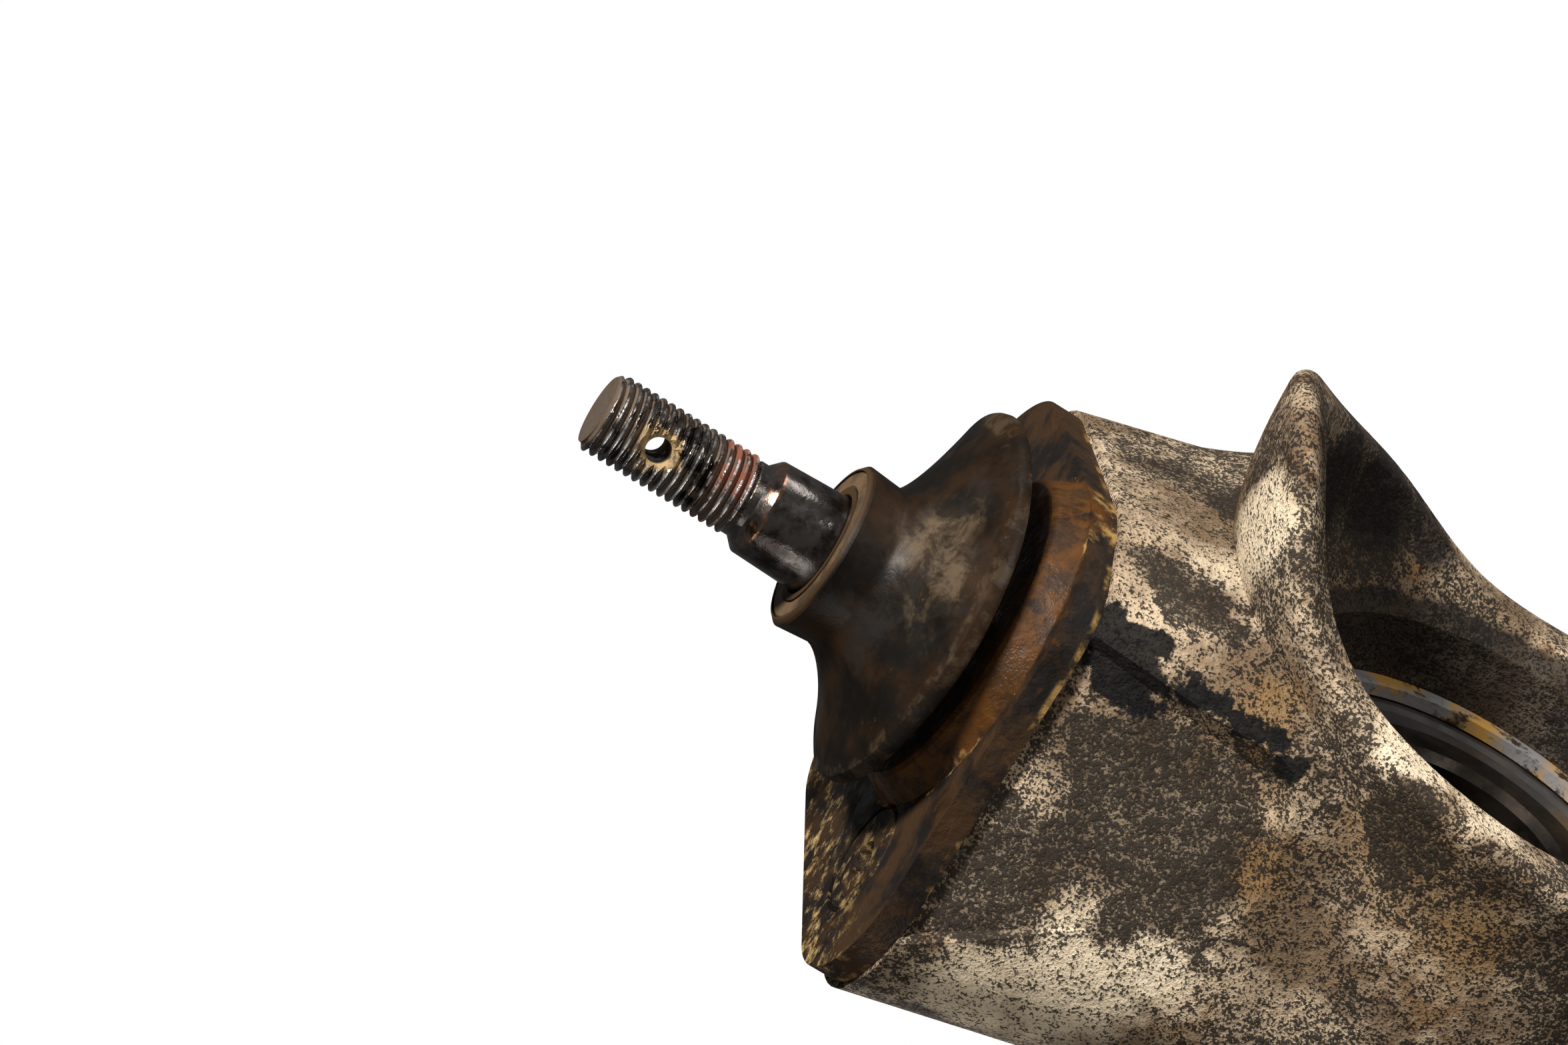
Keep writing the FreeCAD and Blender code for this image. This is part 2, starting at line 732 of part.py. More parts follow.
def socket_liner_upper():
    radius = cup_inner_radius - 0.02
    body = turned_on_z([(0, -ball_drop + liner_split_gap / 2), (radius, -ball_drop + liner_split_gap / 2),
                        (radius, -liner_top - 1.5), (radius - 1.5, -liner_top), (0, -liner_top)])
    return on_joint(body.cut(ball_hollow()))


def socket_liner_lower():
    """Liner that turns in the cup with the stud; its throat leaves room for the stud's full tilt."""
    radius = cup_inner_radius - liner_running_gap
    end = dish_underside - liner_end_gap
    throat = math.radians(liner_throat_angle)
    hollow = ball_radius + ball_clearance
    throat_radius = hollow * math.sin(throat)
    throat_level = ball_drop + hollow * math.cos(throat)
    body = turned_on_z([(0, -ball_drop - liner_split_gap / 2), (radius, -ball_drop - liner_split_gap / 2),
                        (radius, -end), (0, -end)])
    mouth = turned_on_z([(0, -throat_level), (throat_radius, -throat_level),
                         (liner_mouth_radius, -end - 0.1), (0, -end - 0.1)])
    return on_joint(body.cut([ball_hollow(), mouth]))


def preload_disc_spring():
    top = -spring_top
    outer = cup_inner_radius - 2.2
    profile = [(spring_hole_radius, top - spring_thickness), (spring_hole_radius, top),
               (outer, top - spring_rise), (outer, top - spring_rise - spring_thickness)]
    return on_joint(turned_on_z(profile))


def ball_stud():
    tip = -stud_length
    thread_end = tip + thread_length
    relief_end = thread_end + relief_length
    cone_end = relief_end + (taper_small_radius - relief_radius)
    taper_end = cone_end + taper_length
    ball_side = -ball_drop - math.sqrt(ball_radius ** 2 - ball_neck_radius ** 2) + 0.5
    profile = [(0, tip), (thread_radius - tip_chamfer, tip), (thread_radius, tip + tip_chamfer),
               (thread_radius, thread_end), (relief_radius, thread_end + 0.35), (relief_radius, relief_end),
               (taper_small_radius, cone_end), (taper_large_radius, taper_end), (neck_radius, taper_end + 1),
               (neck_radius, ball_side - ball_neck_length), (ball_neck_radius, ball_side - 1.5),
               (ball_neck_radius, ball_side), (0, ball_side)]
    shank = turned_on_z(profile)
    ball = Part.makeSphere(ball_radius, V(0, 0, -ball_drop))
    corner = V(-ball_radius, -ball_radius, -ball_drop + ball_radius - ball_flat)
    flat = Part.makeBox(2 * ball_radius, 2 * ball_radius, ball_flat + 1, corner)
    stud = shank.fuse(ball).cut(flat)
    heading = math.radians(pin_hole_turn)
    out = V(math.cos(heading), math.sin(heading), 0)
    level = tip + pin_hole_from_tip
    start = V(0, 0, level) - out * 2 * thread_radius
    hole = Part.makeCylinder(pin_hole_radius, 4 * thread_radius, start, out)
    tools = [hole]
    depth = pin_hole_mouth_radius - pin_hole_radius
    for sign in (-1, 1):
        start = V(0, 0, level) + out * (sign * (thread_radius - depth))
        tools.append(Part.makeCone(pin_hole_radius, pin_hole_mouth_radius, depth + 0.6, start, out * sign))
    return on_joint(stud.cut(tools).removeSplitter())


def flare_curve(inset):
    """Trumpet curve of the boot from its neck out to its rim, as a spline edge."""
    neck = boot_lip_radius - 0.4 - inset
    rim = boot_rim_radius - inset * 0.4
    start = -boot_lip_level + boot_neck_length
    end = -boot_rim_level - boot_rim_band + inset
    points = []
    for share in (0.0, 0.25, 0.5, 0.75, 1.0):
        radius = neck + (rim - neck) * share ** 1.55
        points.append(V(radius, 0, start + (end - start) * share))
    curve = Part.BSplineCurve()
    curve.interpolate(points)
    return curve.toShape(), points[0], points[-1]


def dust_boot():
    outside, neck, rim = flare_curve(0.0)
    inside, inner_neck, inner_rim = flare_curve(boot_wall)
    lip = -boot_lip_level
    bore = neck_radius + boot_bore_gap
    ring_floor = lip + lip_ring_thickness + 0.2
    corners = [rim, V(boot_rim_radius, 0, -boot_rim_level), V(boot_rim_radius - 3.2, 0, -boot_rim_level),
               inner_rim]
    edges = [outside]
    for start, end in zip(corners, corners[1:]):
        edges.append(Part.LineSegment(start, end).toShape())
    edges.append(inside)
    rest = [inner_neck, V(bore, 0, inner_neck.z - 0.5), V(bore, 0, lip), V(lip_ring_inner - 0.05, 0, lip),
            V(lip_ring_inner - 0.05, 0, ring_floor), V(lip_ring_outer + 0.05, 0, ring_floor),
            V(lip_ring_outer + 0.05, 0, lip), V(boot_lip_radius - 0.5, 0, lip),
            V(boot_lip_radius, 0, lip + 0.5), neck]
    for start, end in zip(rest, rest[1:]):
        edges.append(Part.LineSegment(start, end).toShape())
    face = Part.Face(Part.Wire(Part.__sortEdges__(edges)))
    return on_joint(face.revolve(V(0, 0, 0), V(0, 0, 1), 360))


def boot_lip_ring():
    lip = -boot_lip_level + 0.1
    profile = [(lip_ring_inner, lip + 0.3), (lip_ring_inner + 0.3, lip), (lip_ring_outer - 0.3, lip),
               (lip_ring_outer, lip + 0.3), (lip_ring_outer, lip + lip_ring_thickness),
               (lip_ring_inner, lip + lip_ring_thickness)]
    return on_joint(turned_on_z(profile))


def all_parts():
    return {
        "knuckle_casting": knuckle_casting(),
        "joint_flange_plate": joint_flange_plate(),
        "flange_rivets": flange_rivets(),
        "joint_socket_cup": joint_socket_cup(),
        "preload_disc_spring": preload_disc_spring(),
        "socket_liner_upper": socket_liner_upper(),
        "socket_liner_lower": socket_liner_lower(),
        "boot_lip_ring": boot_lip_ring(),
        "dust_boot": dust_boot(),
        "ball_stud": ball_stud(),
        "bearing_outer_ring": bearing_outer_ring(),
        "bearing_circlip": bearing_circlip(),
        "bearing_seal_inboard": bearing_seal(-1),
        "bearing_seal_outboard": bearing_seal(1),
        "bearing_inner_ring_inboard": bearing_inner_ring(-1),
        "bearing_inner_ring_outboard": bearing_inner_ring(1),
        "bearing_ring_clip": bearing_ring_clip(),
        "bearing_rollers_inboard": bearing_rollers(-1),
        "bearing_rollers_outboard": bearing_rollers(1),
        "roller_cage_inboard": roller_cage(-1),
        "roller_cage_outboard": roller_cage(1),
    }


os.makedirs("parts", exist_ok=True)
for node, shape in all_parts().items():
    shape.exportStep("parts/" + node + ".step")
    print(node, "solids", len(shape.Solids), "valid", shape.isValid(), "volume", round(shape.Volume, 1))
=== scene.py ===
import bpy
import bmesh
import math
from mathutils import Matrix, Vector


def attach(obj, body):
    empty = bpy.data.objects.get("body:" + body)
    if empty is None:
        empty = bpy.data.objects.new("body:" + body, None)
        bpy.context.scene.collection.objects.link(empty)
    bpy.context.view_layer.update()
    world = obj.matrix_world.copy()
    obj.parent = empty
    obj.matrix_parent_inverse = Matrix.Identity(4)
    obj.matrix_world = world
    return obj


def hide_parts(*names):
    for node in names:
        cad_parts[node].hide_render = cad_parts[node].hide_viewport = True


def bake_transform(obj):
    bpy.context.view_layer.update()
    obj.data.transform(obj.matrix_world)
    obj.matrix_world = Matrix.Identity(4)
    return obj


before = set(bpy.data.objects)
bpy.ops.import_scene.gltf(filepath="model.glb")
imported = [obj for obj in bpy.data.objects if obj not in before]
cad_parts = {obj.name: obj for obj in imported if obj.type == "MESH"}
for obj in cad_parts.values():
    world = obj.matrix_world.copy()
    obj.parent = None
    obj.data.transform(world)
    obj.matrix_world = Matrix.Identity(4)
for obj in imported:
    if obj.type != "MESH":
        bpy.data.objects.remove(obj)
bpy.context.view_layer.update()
print("frame loaded:", len(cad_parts), "nodes")


# Ball joint frame: Z runs up the stud, Y away from the middle of the car, X along the car

jointFrame = {"lean": math.radians(-7.2), "start": Vector((0.0, -0.00406, 0.0))}


def leanOver(bm):
    turn = Matrix.Rotation(jointFrame["lean"], 4, "X")
    bmesh.ops.transform(bm, matrix=Matrix.Translation(jointFrame["start"]) @ turn, verts=bm.verts)


def spinProfile(points, steps):
    # closed skin from (radius, height) points turned about Z
    bm = bmesh.new()
    verts = [bm.verts.new((radius, 0.0, height)) for radius, height in points]
    edges = [bm.edges.new(pair) for pair in zip(verts, verts[1:])]
    bmesh.ops.spin(bm, geom=verts + edges, cent=(0, 0, 0), axis=(0, 0, 1), angle=math.tau,
                   steps=steps, use_merge=True)
    bmesh.ops.remove_doubles(bm, verts=bm.verts, dist=0.000005)
    bmesh.ops.recalc_face_normals(bm, faces=bm.faces)
    return bm


def toObject(bm, name):
    mesh = bpy.data.meshes.new(name)
    bm.to_mesh(mesh)
    bm.free()
    piece = bpy.data.objects.new(name, mesh)
    bpy.context.scene.collection.objects.link(piece)
    return piece


def cutWith(piece, cutter):
    # takes the cutter's shape out of the piece and throws the cutter away
    modifier = piece.modifiers.new("cut", "BOOLEAN")
    modifier.operation = "DIFFERENCE"
    modifier.solver = "EXACT"
    modifier.object = cutter
    shown = piece.evaluated_get(bpy.context.evaluated_depsgraph_get())
    mesh = bpy.data.meshes.new_from_object(shown)
    piece.modifiers.clear()
    piece.data = mesh
    bpy.data.objects.remove(cutter)


def smoothByAngle(piece, degrees):
    piece.data.polygons.foreach_set("use_smooth", [True] * len(piece.data.polygons))
    piece.data.set_sharp_from_angle(angle=math.radians(degrees))


# Stud: threaded end, taper and neck

stud = {
    "tip": 0.1281,
    "tipRadius": 0.00475,
    "tipChamfer": 0.0008,
    "crest": 0.00555,
    "root": 0.00478,
    "pitch": 0.00127,
    "threadLength": 0.0214,
    "reliefRadius": 0.0052,
    "reliefEnd": 0.1053,
    "coneEnd": 0.1038,
    "taperSmall": 0.00668,
    "taperLarge": 0.00695,
    "taperEnd": 0.0963,
    "neck": 0.0070,
    "neckEnd": 0.0740,
    "ballNeck": 0.0066,
    "ballNeckStart": 0.0695,
    "ballRadius": 0.0120,
    "ballDrop": 0.0585,
    "pinHole": 0.00175,
    "pinMouth": 0.0030,
    "pinDrop": 0.1196,
    "pinTurn": math.radians(-16),
}


def threadedEnd():
    # thread profile wound up the stud one pitch a turn, then trimmed square at both ends
    s = stud
    bm = bmesh.new()
    turns = int(s["threadLength"] / s["pitch"]) + 4
    low = -s["tip"] - 2 * s["pitch"]
    shape = [(s["root"], 0.0), (s["root"], 0.10), (s["crest"] - 0.00006, 0.44), (s["crest"], 0.50),
             (s["crest"], 0.60), (s["crest"] - 0.00006, 0.66)]
    verts = []
    for turn in range(turns):
        for radius, part in shape:
            verts.append(bm.verts.new((radius, 0.0, low + (turn + part) * s["pitch"])))
    edges = [bm.edges.new(pair) for pair in zip(verts, verts[1:])]
    steps = 72
    bmesh.ops.spin(bm, geom=verts + edges, cent=(0, 0, 0), axis=(0, 0, 1), angle=math.tau,
                   dvec=(0, 0, s["pitch"] / steps), steps=steps, use_merge=False)
    bmesh.ops.remove_doubles(bm, verts=bm.verts, dist=0.000008)
    for height, normal in ((-s["tip"], (0, 0, -1)), (-s["tip"] + s["threadLength"], (0, 0, 1))):
        bmesh.ops.bisect_plane(bm, geom=bm.verts[:] + bm.edges[:] + bm.faces[:], dist=0.0000001,
                               plane_co=(0, 0, height), plane_no=normal, clear_outer=True)
    for vert in bm.verts:
        up = vert.co.z + s["tip"]
        limit = s["tipRadius"] + up if up < s["tipChamfer"] + 0.0002 else s["crest"]
        radius = math.hypot(vert.co.x, vert.co.y)
        if radius > limit:
            vert.co.x *= limit / radius
            vert.co.y *= limit / radius
    bmesh.ops.holes_fill(bm, edges=[edge for edge in bm.edges if edge.is_boundary], sides=0)
    bmesh.ops.recalc_face_normals(bm, faces=bm.faces)
    return toObject(bm, "studThread")


def studShank():
    s = stud
    ballEnd = -s["ballDrop"] - math.sqrt(s["ballRadius"] ** 2 - s["ballNeck"] ** 2)
    points = [(0.0, -s["tip"] + s["threadLength"] - 0.0002),
              (s["root"] - 0.0001, -s["tip"] + s["threadLength"] - 0.0002),
              (s["reliefRadius"], -s["tip"] + s["threadLength"] + 0.0003),
              (s["reliefRadius"], -s["reliefEnd"]),
              (s["taperSmall"] - 0.0001, -s["coneEnd"] - 0.0001), (s["taperSmall"], -s["coneEnd"] + 0.0001),
              (s["taperLarge"], -s["taperEnd"]), (s["neck"], -s["taperEnd"] + 0.001),
              (s["neck"], -s["neckEnd"]), (s["ballNeck"], -s["ballNeckStart"]), (s["ballNeck"], ballEnd)]
    start = math.asin(s["ballNeck"] / s["ballRadius"])
    end = math.acos(-(s["ballRadius"] - 0.001) / s["ballRadius"])
    for step in range(1, 17):
        angle = start + (end - start) * step / 16
        points.append((s["ballRadius"] * math.sin(angle), -s["ballDrop"] - s["ballRadius"] * math.cos(angle)))
    points.append((0.0, points[-1][1]))
    return toObject(spinProfile(points, 96), "studShank")


def pinCutter():
    s = stud
    reach = s["crest"] + 0.001
    slope = s["pinMouth"] - s["pinHole"]
    mouth = s["crest"] - slope
    points = [(0.0, -reach), (s["pinMouth"] + 0.001, -reach), (s["pinHole"], -mouth),
              (s["pinHole"], mouth), (s["pinMouth"] + 0.001, reach), (0.0, reach)]
    bm = spinProfile(points, 40)
    turn = Matrix.Rotation(s["pinTurn"], 4, "Z") @ Matrix.Rotation(math.pi / 2, 4, "Y")
    bmesh.ops.transform(bm, matrix=Matrix.Translation((0, 0, -s["pinDrop"])) @ turn, verts=bm.verts)
    return toObject(bm, "pinCutter")


def makeStud():
    thread = threadedEnd()
    cutWith(thread, pinCutter())
    shank = studShank()
    bm = bmesh.new()
    bm.from_mesh(thread.data)
    bm.from_mesh(shank.data)
    bpy.data.objects.remove(thread)
    bpy.data.objects.remove(shank)
    leanOver(bm)
    piece = toObject(bm, "threadedBallStud")
    smoothByAngle(piece, 32)
    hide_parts("ball_stud")
    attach(piece, "stud")
    return piece


# Dust boot: stiff rubber trumpet, with a rim that stands proud on one side

boot = {
    "lip": 0.0944,
    "lipRadius": 0.0119,
    "lipRound": 0.0007,
    "bore": 0.00712,
    "ringInner": 0.00835,
    "ringOuter": 0.01095,
    "ringDepth": 0.0022,
    "neckEnd": 0.0890,
    "neckRadius": 0.0115,
    "rim": 0.0762,
    "rimRadius": 0.0253,
    "rimBand": 0.0026,
    "wall": 0.0028,
    "flarePower": 1.55,
    "lobeAngle": math.radians(-119),
    "lobeWidth": 1.0,
    "lobeOut": 0.0018,
    "lobeLift": 0.0048,
    "wave": 0.00018,
}


def bootOutline(inset):
    b = boot
    start = -b["neckEnd"]
    end = -b["rim"] - b["rimBand"] + inset
    neck = b["neckRadius"] - inset
    rim = b["rimRadius"] - 0.0004 - inset * 0.4
    points = []
    for step in range(13):
        share = step / 12
        points.append((neck + (rim - neck) * share ** b["flarePower"], start + (end - start) * share))
    return points


def settleBoot(bm):
    # the rim stands proud round lobeAngle and waves a little all round
    b = boot
    for vert in bm.verts:
        radius = math.hypot(vert.co.x, vert.co.y)
        angle = math.atan2(vert.co.y, vert.co.x)
        share = (b["neckEnd"] + vert.co.z) / (b["neckEnd"] - b["rim"])
        share = min(max(share, 0.0), 1.0)
        away = math.remainder(angle - b["lobeAngle"], math.tau)
        lobe = math.exp(-(away / b["lobeWidth"]) ** 2)
        wave = b["wave"] * (math.sin(3 * angle + 0.7) + 0.6 * math.sin(7 * angle))
        wider = 1 + share ** 1.3 * (b["lobeOut"] * lobe + wave) / radius
        vert.co.x *= wider
        vert.co.y *= wider
        vert.co.z -= share * (b["lobeLift"] * lobe + wave)


def makeBoot():
    b = boot
    outside = bootOutline(0.0)
    inside = bootOutline(b["wall"])
    inside.reverse()
    lip = -b["lip"]
    points = outside + [(b["rimRadius"] - 0.0001, -b["rim"] - b["rimBand"] + 0.0002),
                        (b["rimRadius"], -b["rim"] - b["rimBand"] + 0.0006),
                        (b["rimRadius"], -b["rim"] - 0.0008), (b["rimRadius"] - 0.0002, -b["rim"] - 0.0003),
                        (b["rimRadius"] - 0.0008, -b["rim"]), (b["rimRadius"] - 0.0032, -b["rim"])]
    points += inside
    points += [(b["bore"], inside[-1][1] - 0.0005), (b["bore"], lip + 0.0004), (b["bore"] + 0.0003, lip),
               (b["ringInner"], lip), (b["ringInner"], lip + b["ringDepth"]),
               (b["ringOuter"], lip + b["ringDepth"]), (b["ringOuter"], lip),
               (b["lipRadius"] - b["lipRound"], lip), (b["lipRadius"], lip + b["lipRound"])]
    points.append(points[0])
    bm = spinProfile(points, 144)
    settleBoot(bm)
    leanOver(bm)
    piece = toObject(bm, "rubberBoot")
    smoothByAngle(piece, 40)
    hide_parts("dust_boot")
    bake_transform(piece)
    return piece


print("pieces:", makeStud().name, makeBoot().name)


# Material nodes

def newMaterial(name, roughness, metallic, gloss=0.5):
    material = bpy.data.materials.new(name)
    material.use_nodes = True
    shader = material.node_tree.nodes["Principled BSDF"]
    shader.inputs["Roughness"].default_value = roughness
    shader.inputs["Metallic"].default_value = metallic
    shader.inputs["Specular IOR Level"].default_value = gloss
    return material


def feed(tree, socket, value):
    # a socket takes another node's output, or a plain number or colour
    if isinstance(value, bpy.types.NodeSocket):
        tree.links.new(value, socket)
    elif isinstance(value, (tuple, list)) and len(value) == 3 and socket.type == "RGBA":
        socket.default_value = (*value, 1.0)
    else:
        socket.default_value = value


def objectPoint(tree):
    return tree.nodes.new("ShaderNodeTexCoord").outputs["Object"]


def turnedPoint(tree, shift, turn):
    node = tree.nodes.new("ShaderNodeMapping")
    node.vector_type = "TEXTURE"
    feed(tree, node.inputs["Vector"], objectPoint(tree))
    node.inputs["Location"].default_value = shift
    node.inputs["Rotation"].default_value = turn
    return node.outputs["Vector"]


def noise(tree, size, detail=3.0, rough=0.55, twist=0.0, point=None):
    # size is the width of a blotch in metres
    node = tree.nodes.new("ShaderNodeTexNoise")
    feed(tree, node.inputs["Vector"], point or objectPoint(tree))
    node.inputs["Scale"].default_value = 0.5 / size
    node.inputs["Detail"].default_value = detail
    node.inputs["Roughness"].default_value = rough
    node.inputs["Distortion"].default_value = twist
    return node.outputs["Fac"]


def fade(tree, value, low, high, start=0.0, end=1.0):
    node = tree.nodes.new("ShaderNodeMapRange")
    node.interpolation_type = "SMOOTHSTEP"
    for name, given in (("Value", value), ("From Min", low), ("From Max", high),
                        ("To Min", start), ("To Max", end)):
        feed(tree, node.inputs[name], given)
    return node.outputs["Result"]


def combine(tree, operation, first, second):
    node = tree.nodes.new("ShaderNodeMath")
    node.operation = operation
    feed(tree, node.inputs[0], first)
    feed(tree, node.inputs[1], second)
    return node.outputs[0]


def mixColour(tree, amount, below, above):
    node = tree.nodes.new("ShaderNodeMix")
    node.data_type = "RGBA"
    feed(tree, node.inputs[0], amount)
    feed(tree, node.inputs[6], below)
    feed(tree, node.inputs[7], above)
    return node.outputs[2]


def spot(tree, centre, radius, soft=0.4, wobble=0.0, wobbleSize=0.006):
    # 1 inside a ball of space round centre, fading to 0 at radius, with a ragged edge
    node = tree.nodes.new("ShaderNodeVectorMath")
    node.operation = "DISTANCE"
    feed(tree, node.inputs[0], objectPoint(tree))
    node.inputs[1].default_value = centre
    distance = node.outputs["Value"]
    if wobble:
        ragged = fade(tree, noise(tree, wobbleSize, 4.0, 0.65), 0.3, 0.7, -wobble, wobble)
        distance = combine(tree, "ADD", distance, ragged)
    return fade(tree, distance, radius, radius * (1 - soft))


def bump(tree, height, distance, strength=1.0, below=None):
    node = tree.nodes.new("ShaderNodeBump")
    node.inputs["Strength"].default_value = strength
    node.inputs["Distance"].default_value = distance
    feed(tree, node.inputs["Height"], height)
    if below:
        feed(tree, node.inputs["Normal"], below)
    return node.outputs["Normal"]


def finishSurface(material, colour=None, roughness=None, normal=None, metallic=None):
    tree = material.node_tree
    shader = tree.nodes["Principled BSDF"]
    for name, value in (("Base Color", colour), ("Roughness", roughness), ("Normal", normal),
                        ("Metallic", metallic)):
        if value is not None:
            feed(tree, shader.inputs[name], value)
    return material


def jointSpace(tree):
    # across, outboard, up the ball joint's own axis, and distance from that axis
    split = tree.nodes.new("ShaderNodeSeparateXYZ")
    place = turnedPoint(tree, jointFrame["start"], (jointFrame["lean"], 0, 0))
    feed(tree, split.inputs[0], place)
    x, y, z = split.outputs
    squares = combine(tree, "ADD", combine(tree, "MULTIPLY", x, x), combine(tree, "MULTIPLY", y, y))
    return x, y, z, combine(tree, "SQRT", squares, 0.0)


def window(tree, value, low, high, soft):
    # 1 between low and high, fading out over soft on both sides
    rise = fade(tree, value, low - soft, low)
    return combine(tree, "MULTIPLY", rise, fade(tree, value, high, high + soft, 1.0, 0.0))


def spots(tree, places, soft=0.4, wobble=0.0, wobbleSize=0.006):
    # the strongest of several spots, each given as (x, y, z, radius)
    total = None
    for x, y, z, radius in places:
        one = spot(tree, (x, y, z), radius, soft, wobble, wobbleSize)
        total = one if total is None else combine(tree, "MAXIMUM", total, one)
    return total


castIron = {
    "dust": (0.46, 0.345, 0.225),
    "taupe": (0.15, 0.098, 0.056),
    "rubbed": (0.76, 0.62, 0.43),
    "sootAndShade": (0.010, 0.008, 0.007),
    "tar": (0.004, 0.004, 0.004),
    "stain": (0.16, 0.085, 0.032),
    "ochre": (0.20, 0.112, 0.040),
    "dirtAndShadeFilm": (0.026, 0.020, 0.014),
    "grooveStart": 0.020,
    "grooveEnd": 0.0322,
    # inside: spots in the hood's hollow that get painted shade
    "inside": [(-0.0256, -0.0440, -0.0326, 0.0100), (-0.0330, -0.0415, -0.0220, 0.0090),
               (-0.0180, -0.0455, -0.0380, 0.0090), (-0.0375, -0.0385, -0.0120, 0.0070)],
    "tarSpots": [(0.0231, -0.0292, -0.0575, 0.0062), (0.0242, -0.0287, -0.0540, 0.0046),
                 (0.0222, -0.0300, -0.0608, 0.0050)],
    "streak": [(0.0254, -0.0302, -0.0487, 0.0023), (0.0259, -0.0302, -0.0468, 0.0019),
               (0.0263, -0.0301, -0.0449, 0.0022), (0.0270, -0.0303, -0.0427, 0.0018),
               (0.0276, -0.0305, -0.0405, 0.0020), (0.0284, -0.0302, -0.0390, 0.0017),
               (0.0291, -0.0299, -0.0375, 0.0021), (0.0303, -0.0287, -0.0350, 0.0022)],
    "dirtAndShadeSpots": [(0.0300, -0.0120, -0.0450, 0.0215), (0.0145, -0.0365, -0.0510, 0.0100),
                  (-0.0310, -0.0440, -0.0260, 0.0210), (0.0350, 0.0090, -0.0640, 0.0060),
                  (0.0330, -0.0070, -0.0620, 0.0080), (0.0330, 0.0020, -0.0580, 0.0110),
                  (0.0376, -0.0302, -0.0206, 0.0080), (-0.0140, -0.0392, -0.0450, 0.0060)],
    "rubbedAndLitSpots": [(0.0371, 0.0083, -0.0462, 0.0135), (0.0365, 0.0010, -0.0380, 0.0080),
                  (0.0365, 0.0160, -0.0560, 0.0110),
                  (0.0340, -0.0380, -0.0240, 0.0070), (0.0100, -0.0470, -0.0480, 0.0120),
                  (0.0385, -0.0360, -0.0120, 0.0060)],
    "stains": [(0.0261, -0.0330, -0.0399, 0.0060), (0.0300, -0.0250, -0.0370, 0.0060),
               (0.0277, -0.0217, -0.0432, 0.0040), (0.0338, 0.0005, -0.0541, 0.0050),
               (0.0390, -0.0260, -0.0150, 0.0130), (0.0332, -0.0164, -0.0312, 0.0080),
               (0.0376, -0.0302, -0.0206, 0.0120), (0.0411, -0.0233, -0.0075, 0.0120)],
}


def bearingMouthShade(tree):
    # painted shade: a dark band round the bearing's mouth, close to the hub axis and behind the hood
    split = tree.nodes.new("ShaderNodeSeparateXYZ")
    feed(tree, split.inputs[0], objectPoint(tree))
    x, y, z = split.outputs
    squares = combine(tree, "ADD", combine(tree, "MULTIPLY", x, x), combine(tree, "MULTIPLY", z, z))
    ragged = fade(tree, noise(tree, 0.004, 4.0, 0.6), 0.3, 0.7, -0.0006, 0.0006)
    radius = combine(tree, "ADD", combine(tree, "SQRT", squares, 0.0), ragged)
    return window(tree, radius, castIron["grooveStart"], castIron["grooveEnd"], 0.0010)


def castIronMaterial():
    material = newMaterial("castIronDusty", 0.85, 0.0, 0.12)
    tree = material.node_tree
    c = castIron
    colour = mixColour(tree, fade(tree, noise(tree, 0.010, 5.0, 0.62), 0.40, 0.60), c["taupe"], c["dust"])
    browns = fade(tree, noise(tree, 0.0045, 5.0, 0.68), 0.54, 0.66, 0.0, 0.75)
    colour = mixColour(tree, browns, colour, c["stain"])
    stains = spots(tree, c["stains"], 0.8, 0.002, 0.004)
    colour = mixColour(tree, combine(tree, "MULTIPLY", stains, 0.75), colour, c["ochre"])
    dirtAndShade = fade(tree, noise(tree, 0.012, 4.0, 0.6), 0.36, 0.62, 0.12, 0.75)
    # dark patches: dirt on the side panel, and painted shade where a patch fills the hood's hollow
    dirtAndShade = combine(tree, "MAXIMUM", dirtAndShade, spots(tree, c["dirtAndShadeSpots"], 0.55, 0.006, 0.007))
    # pale rubbed patches, and a painted highlight on the lit ridge below the side panel
    rubbedAndLit = spots(tree, c["rubbedAndLitSpots"], 0.6, 0.003, 0.006)
    dirtAndShade = combine(tree, "SUBTRACT", dirtAndShade, combine(tree, "MULTIPLY", rubbedAndLit, 0.7))
    colour = mixColour(tree, combine(tree, "MULTIPLY", rubbedAndLit, 0.7), colour, c["rubbed"])
    # black grain under a millimetre wide, closer together where the dirt and the painted shade are thick
    edge = fade(tree, dirtAndShade, 0.0, 1.0, 0.540, 0.440)
    fine = noise(tree, 0.00021, 2.0, 0.6)
    coarse = noise(tree, 0.00070, 4.0, 0.68, 0.3)
    grain = combine(tree, "ADD", combine(tree, "MULTIPLY", fine, 0.58),
                    combine(tree, "MULTIPLY", coarse, 0.42))
    speckle = fade(tree, combine(tree, "SUBTRACT", grain, edge), -0.03, 0.04)
    colour = mixColour(tree, combine(tree, "MULTIPLY", speckle, 0.92), colour, c["sootAndShade"])
    # a dark film over the dirt and over the painted shade
    dirtAndShadeFilm = fade(tree, dirtAndShade, 0.35, 1.0, 0.0, 0.6)
    colour = mixColour(tree, dirtAndShadeFilm, colour, c["dirtAndShadeFilm"])
    # painted shade: the hood's hollow and the band round the bearing's mouth are darkened almost to black
    inside = spots(tree, c["inside"], 0.5, 0.002, 0.004)
    inside = combine(tree, "MAXIMUM", inside, bearingMouthShade(tree))
    colour = mixColour(tree, combine(tree, "MULTIPLY", inside, 0.85), colour, c["sootAndShade"])
    tar = combine(tree, "MAXIMUM", spots(tree, c["tarSpots"], 0.22, 0.0022, 0.0025),
                  spots(tree, c["streak"], 0.3, 0.0012, 0.0018))
    colour = mixColour(tree, combine(tree, "MULTIPLY", tar, 0.97), colour, c["tar"])
    normal = bump(tree, coarse, 0.0008, 0.9)
    normal = bump(tree, fine, 0.0003, 0.7, normal)
    rough = fade(tree, coarse, 0.3, 0.7, 0.66, 0.95)
    return finishSurface(material, colour, rough, normal)


